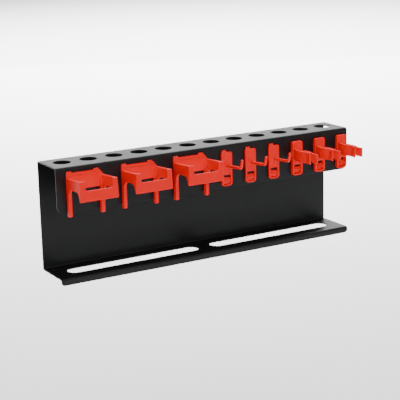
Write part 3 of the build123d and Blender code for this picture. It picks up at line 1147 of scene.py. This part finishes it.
@dataclass
class HookSet:
    """The three J-shaped hooks on their carriers."""

    carrier: Carrier = field(default_factory=lambda: Carrier(depth=3.2, top=56.5))
    arm_width: float = 3.4
    root_low: float = 37.9
    root_high: float = 41.2
    outer_bend: tuple[float, float] = (-86.9, 40.6)
    inner_bend: tuple[float, float] = (-84.7, 43.8)
    tip_outer: tuple[float, float] = (-90.0, 52.7)
    tip_inner: tuple[float, float] = (-87.5, 53.0)
    lug_width: float = 6.0
    lug_height: float = 2.4
    lug_thickness: float = 1.4
    fillet: float = 1.4
    grid_step: float = 0.38

    def arm(self) -> Slab:
        """The arm, drawn from the side: it rises a little, then turns up into a tip that leans out."""
        root = BACK_Y - self.carrier.depth + self.lug_thickness
        corners = [
            (root, self.root_low),
            self.outer_bend,
            self.tip_outer,
            self.tip_inner,
            self.inner_bend,
            (root, self.root_high),
        ]
        outline = corner_arcs(corners, [0.2, 4.5, 1.1, 1.1, 2.0, 0.2], 8)
        return Slab(Axis.X, outline, -self.arm_width / 2, self.arm_width / 2, 1.0)

    def lug(self) -> Slab:
        """The small lug on the left half of the carrier's top edge, against the flange."""
        outline = rectangle(-self.lug_width / 2, self.carrier.top, self.lug_width, 2 * self.lug_height, 0.7)
        return Slab(Axis.Y, outline, BACK_Y - self.lug_thickness, BACK_Y, 0.3)

    def shape(self) -> Field:
        """The field of one hook with its middle at x = 0."""
        joined = run_together([self.carrier.slab(), self.lug(), self.arm()], self.fillet)
        return with_studs(kept_within(joined), 0.0)

    def build(self, plastic: bpy.types.Material) -> None:
        """Makes the hooks and their catch tongues and dresses them."""
        half = self.carrier.width / 2
        low = (-half, self.tip_outer[0], self.carrier.bottom)
        high = (half, BACK_Y + Stud().reach, self.carrier.top + self.lug_height)
        hook = skin_of(self.shape(), low, high, self.grid_step)
        tongue = CatchTongue(self.carrier.depth).skin()
        for number in (1, 2, 3):
            x = FIRST_CARRIER + (number - 1) * CARRIER_PITCH
            catch = f"hook_catch_{number}"
            fit(hook, x, f"hook_{number}_moulded", f"hook_{number}", f"hook_carrier_{number}", plastic)
            fit(tongue, x, f"hook_{number}_tongue", catch, catch, plastic)


@dataclass
class ClipSet:
    """The three spring clips: a carrier, its catch tongue and two bowed jaws each."""

    carrier: Carrier = field(default_factory=lambda: Carrier(depth=5.0, top=57.6))
    jaw_thickness: float = 2.2
    jaw_gap: float = 0.2
    root_x: float = 5.0
    bulge: tuple[float, float] = (7.6, -69.5)
    pinch: tuple[float, float] = (4.5, -81.5)
    flare: tuple[float, float] = (4.7, -85.5)
    tip: tuple[float, float] = (5.4, -89.4)
    left_heights: tuple[float, float] = (35.0, 49.0)
    right_heights: tuple[float, float] = (34.5, 46.0)
    grid_step: float = 0.38

    @staticmethod
    def arc(
        start: tuple[float, float],
        through: tuple[float, float],
        end: tuple[float, float],
        steps: int,
    ) -> Array:
        """Points on the circle through three points.

        The centre c solves 2 (through - start) . c = |through|^2 - |start|^2, and the same with
        the end; the points go round it from start to end by way of the middle one.

        Args:
            start: the first point.
            through: a point between.
            end: the last point.
            steps: segments in the arc.

        Returns:
            The points, (steps + 1, 2).
        """
        a, b, c = (np.asarray(p, dtype=float) for p in (start, through, end))
        centre = np.linalg.solve(2 * np.array([b - a, c - a]), np.array([b @ b - a @ a, c @ c - a @ a]))
        first, _, last = np.unwrap([np.arctan2(*(p - centre)[::-1]) for p in (a, b, c)])
        turn = np.linspace(first, last, steps + 1)
        return centre + np.linalg.norm(a - centre) * np.stack([np.cos(turn), np.sin(turn)], axis=1)

    def jaw(self, side: Side) -> Skin:
        """One jaw with its clip's middle at x = 0: bowed out, pinched in and flared to its tip.

        Args:
            side: which jaw.

        Returns:
            The jaw's skin.
        """
        root_y = BACK_Y - self.carrier.depth - self.jaw_gap - self.jaw_thickness / 2
        bow = self.arc((self.root_x, root_y), self.bulge, self.pinch, 22)
        lead = self.arc(self.pinch, self.flare, self.tip, 8)
        path = np.concatenate([bow, lead[1:]]) * np.array([side.value, 1.0])
        outline = ribbon(path, self.jaw_thickness)
        low, high = self.left_heights if side is Side.LEFT else self.right_heights
        slab = Slab(Axis.Z, outline, low, high, 0.55)
        least, most = outline.min(axis=0), outline.max(axis=0)
        return skin_of(slab, (*least, low), (*most, high), self.grid_step)

    def shape(self) -> Field:
        """The field of one carrier with its middle at x = 0."""
        return with_studs(kept_within(self.carrier.slab()), 0.0)

    def build(self, plastic: bpy.types.Material) -> None:
        """Makes the clips and dresses them."""
        half = self.carrier.width / 2
        low = (-half, BACK_Y - self.carrier.depth, self.carrier.bottom)
        high = (half, BACK_Y + Stud().reach, self.carrier.top)
        plate = skin_of(self.shape(), low, high, self.grid_step)
        tongue = CatchTongue(self.carrier.depth).skin()
        jaws = {side: self.jaw(side) for side in Side}
        for number in (1, 2, 3):
            x = FIRST_CARRIER + (number + 2) * CARRIER_PITCH
            catch = f"clip_catch_{number}"
            fit(plate, x, f"clip_{number}_moulded", f"clip_{number}", f"clip_carrier_{number}", plastic)
            fit(tongue, x, f"clip_{number}_tongue", catch, catch, plastic)
            for side, skin in jaws.items():
                name = f"clip_{side.name.lower()}_jaw_{number}"
                fit(skin, x, f"{name}_moulded", name, name, plastic)


# ---- Studio --------------------------------------------------------------------------------------
@dataclass(frozen=True)
class Softbox:
    """A square softbox: where it stands and is aimed, its width, and how far its light fans out."""

    name: str
    place: tuple[float, float, float]
    aim: tuple[float, float, float]
    size: float
    watts: float
    spread: float


@dataclass
class Studio:
    """Pale floor, soft lights and the camera."""

    floor_z: float = -0.32
    floor_size: float = 40.0
    world_colour: str = "#F6F7FA"
    world_strength: float = 0.3
    boxes: tuple[Softbox, ...] = (
        Softbox("overhead_box", (0.1, -0.6, 1.8), (0.0, 0.0, 0.0), 1.2, 2.6, 90.0),
        Softbox("front_box", (-0.2, -2.3, 0.7), (0.0, 0.0, 0.05), 1.2, 2.5, 50.0),
        Softbox("left_box", (-2.2, -0.9, 0.7), (0.0, 0.0, 0.05), 1.2, 1.7, 50.0),
        Softbox("rear_box", (1.6, 2.9, 0.95), (0.0, 0.0, 0.05), 2.4, 42.0, 180.0),
        Softbox("backdrop_box", (1.9, 3.2, 4.0), (1.9, 3.2, 0.0), 4.0, 640.0, 90.0),
    )
    camera_place: tuple[float, float, float] = (-0.7327, -1.2981, 0.3605)
    camera_lens: float = 112.14
    yaw: float = 29.88
    pitch: float = 13.98
    roll: float = 1.46

    def floor(self) -> None:
        """A large flat floor, well below the rack, which hangs on a wall."""
        half = self.floor_size / 2
        mesh = bpy.data.meshes.new("studio_floor")
        mesh.from_pydata([(a * half, b * half, self.floor_z) for a, b in QUARTERS], [], [(0, 1, 2, 3)])
        made = bpy.data.objects.new("studio_floor", mesh)
        bpy.context.scene.collection.objects.link(made)
        mesh.materials.append(StudioPaper().make())

    def softbox(self, box: Softbox) -> None:
        """A square area light behind a grid, which keeps its light within the spread."""
        light = bpy.data.lights.new(box.name, "AREA")
        light.size = box.size
        light.energy = box.watts
        light.spread = radians(box.spread)
        made = bpy.data.objects.new(box.name, light)
        made.location = box.place
        made.rotation_euler = (Vector(box.aim) - Vector(box.place)).to_track_quat("-Z", "Y").to_euler()
        made.visible_camera = False
        bpy.context.scene.collection.objects.link(made)

    def lights(self) -> None:
        """World light from all round, and the softboxes."""
        world = bpy.data.worlds.new("studio_world")
        world.use_nodes = True
        world.node_tree.nodes.clear()
        values = {"Color": linear(self.world_colour), "Strength": self.world_strength}
        glow = node(world.node_tree, "ShaderNodeBackground", values)
        node(world.node_tree, "ShaderNodeOutputWorld", links={"Surface": glow.outputs["Background"]})
        bpy.context.scene.world = world
        for box in self.boxes:
            self.softbox(box)

    def camera(self) -> None:
        """The camera, looking along +Y turned by the yaw, down by the pitch and rolled."""
        psi, theta, rho = (radians(angle) for angle in (self.yaw, self.pitch, self.roll))
        ahead = Vector((sin(psi) * cos(theta), cos(psi) * cos(theta), -sin(theta)))
        level = Vector((cos(psi), -sin(psi), 0.0))
        down = ahead.cross(level)
        right = cos(rho) * level + sin(rho) * down
        below = -sin(rho) * level + cos(rho) * down
        lens = bpy.data.cameras.new("camera")
        lens.lens = self.camera_lens
        lens.sensor_width = 36.0
        lens.clip_end = 100.0
        made = bpy.data.objects.new("camera", lens)
        turn = Matrix((right, -below, -ahead)).transposed().to_4x4()
        made.matrix_world = Matrix.Translation(self.camera_place) @ turn
        bpy.context.scene.collection.objects.link(made)
        bpy.context.scene.camera = made

    def build(self) -> None:
        """Sets up the whole studio."""
        self.floor()
        self.lights()
        self.camera()


def main() -> None:
    """Builds the rack, its fittings and the studio."""
    logging.basicConfig(level=logging.INFO, format="%(name)s %(message)s")
    coat = PowderCoat().make()
    plastic = RedPolypropylene().make()
    holders, hooks, clips = WideHolder(), HookSet(), ClipSet()
    studs = [centre + side * holders.stud_x for centre in holders.centres for side in (-1, 1)]
    studs += [FIRST_CARRIER + number * CARRIER_PITCH for number in range(6)]
    FoldedRack(stud_slot_places=tuple(studs)).build(coat)
    holders.build(plastic)
    hooks.build(plastic)
    clips.build(plastic)
    Studio().build()


if __name__ == "__main__":
    main()
